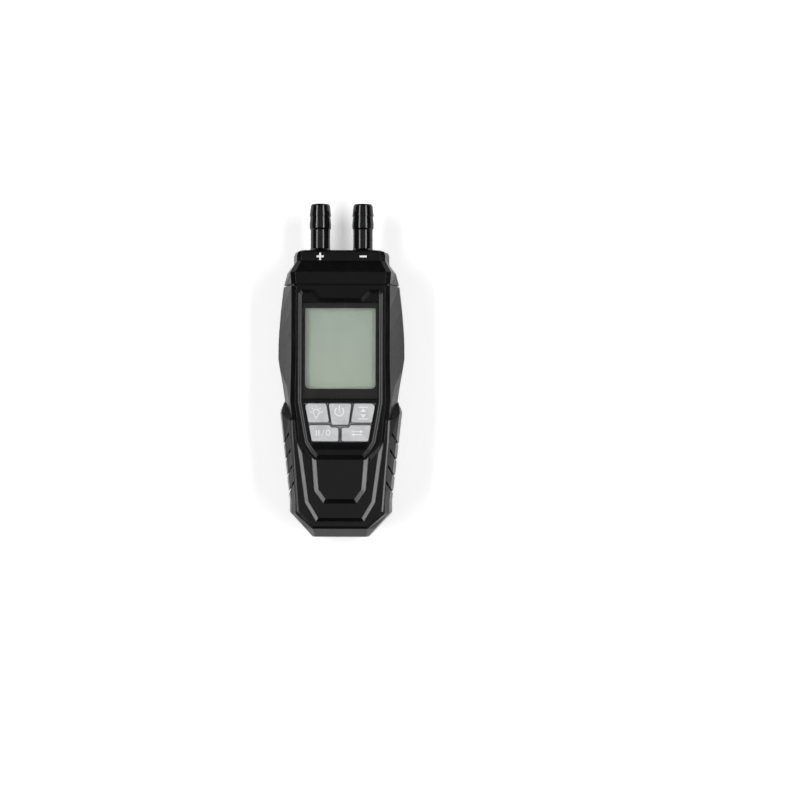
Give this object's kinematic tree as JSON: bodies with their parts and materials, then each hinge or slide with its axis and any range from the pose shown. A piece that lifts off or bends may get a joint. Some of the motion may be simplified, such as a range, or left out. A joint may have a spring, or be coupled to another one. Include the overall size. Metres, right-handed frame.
{
  "type": "digital manometer",
  "caption": "Handheld digital differential pressure meter with a display, rubber keys, a grip boot, a battery bay and paired barbed hose nozzles.",
  "frame": {"origin": "middle of the footprint on the flat back, on which the meter lies", "axes": "+Z out of the display, +Y from the grip towards the hose nozzles, +X to the right as the display is read"},
  "size_m": [0.0572, 0.15, 0.034],
  "materials": {
    "shell": "fine spark grain, satin",
    "cap": "fine spark grain, satin",
    "boot": "soft matte elastomer",
    "nozzle": "polished",
    "lens": "polished clear acrylic",
    "mask": "black print seen through the lens",
    "gasket": "black foam and rubber",
    "lcd": "grey-green reflective display",
    "white_plastic": "moulded white",
    "strip": "elastomer strip",
    "board": "green solder mask",
    "chip": "moulded black epoxy",
    "can": "nickel-plated",
    "case_screw": "blackened steel",
    "led": "phosphor",
    "sensor": "moulded off-white",
    "tube": "translucent silicone",
    "keypad": "matte silicone",
    "key": "satin light grey with white print",
    "dome": "silicone",
    "pill": "carbon rubber",
    "cell": "printed foil sleeve"
  },
  "bodies": {
    "meter": {"front_shell": "shell", "back_shell": "shell", "top_cap": "cap", "grip_boot": "boot", "nozzle_plus": "nozzle", "nozzle_minus": "nozzle", "display_lens": "lens", "lens_mask": "mask", "lens_gasket": "gasket", "nozzle_seals": "gasket", "lcd_glass": "lcd", "lcd_frame": "white_plastic", "backlight_panel": "white_plastic", "contact_strips": "strip", "main_pcb": "board", "microcontroller": "chip", "voltage_regulator": "chip", "clock_crystal": "can", "capacitors": "can", "battery_springs": "can", "battery_plates": "can", "battery_lead": "can", "pcb_screws": "can", "case_screws": "case_screw", "backlight_led": "led", "pressure_sensor": "sensor", "sensor_tube_plus": "tube", "sensor_tube_minus": "tube", "keypad_mat": "keypad", "dome_lamp": "dome", "dome_power": "dome", "dome_max_min": "dome", "dome_hold_zero": "dome", "dome_units": "dome", "cell_left": "cell", "cell_middle": "cell", "cell_right": "cell"},
    "lamp_button": {"key_lamp": "key", "pill_lamp": "pill"},
    "power_button": {"key_power": "key", "pill_power": "pill"},
    "max_min_button": {"key_max_min": "key", "pill_max_min": "pill"},
    "hold_zero_button": {"key_hold_zero": "key", "pill_hold_zero": "pill"},
    "units_button": {"key_units": "key", "pill_units": "pill"},
    "door": {"battery_door": "shell"}
  },
  "joints": [
    {"name": "press_lamp", "type": "slide", "parent": "meter", "child": "lamp_button", "axis": [0, 0, -1], "range_m": [0, 0.001], "stiffness_N_per_m": 800, "springref_m": -0.0004, "deforming": ["dome_lamp"]},
    {"name": "press_power", "type": "slide", "parent": "meter", "child": "power_button", "axis": [0, 0, -1], "range_m": [0, 0.001], "stiffness_N_per_m": 800, "springref_m": -0.0004, "deforming": ["dome_power"]},
    {"name": "press_max_min", "type": "slide", "parent": "meter", "child": "max_min_button", "axis": [0, 0, -1], "range_m": [0, 0.001], "stiffness_N_per_m": 800, "springref_m": -0.0004, "deforming": ["dome_max_min"]},
    {"name": "press_hold_zero", "type": "slide", "parent": "meter", "child": "hold_zero_button", "axis": [0, 0, -1], "range_m": [0, 0.001], "stiffness_N_per_m": 800, "springref_m": -0.0004, "deforming": ["dome_hold_zero"]},
    {"name": "press_units", "type": "slide", "parent": "meter", "child": "units_button", "axis": [0, 0, -1], "range_m": [0, 0.001], "stiffness_N_per_m": 800, "springref_m": -0.0004, "deforming": ["dome_units"]},
    {"name": "door_hinge", "type": "hinge", "parent": "meter", "child": "door", "pos_m": [0, -0.0598, 0.0015], "axis": [-1, 0, 0], "range_deg": [0, 80]}
  ]
}
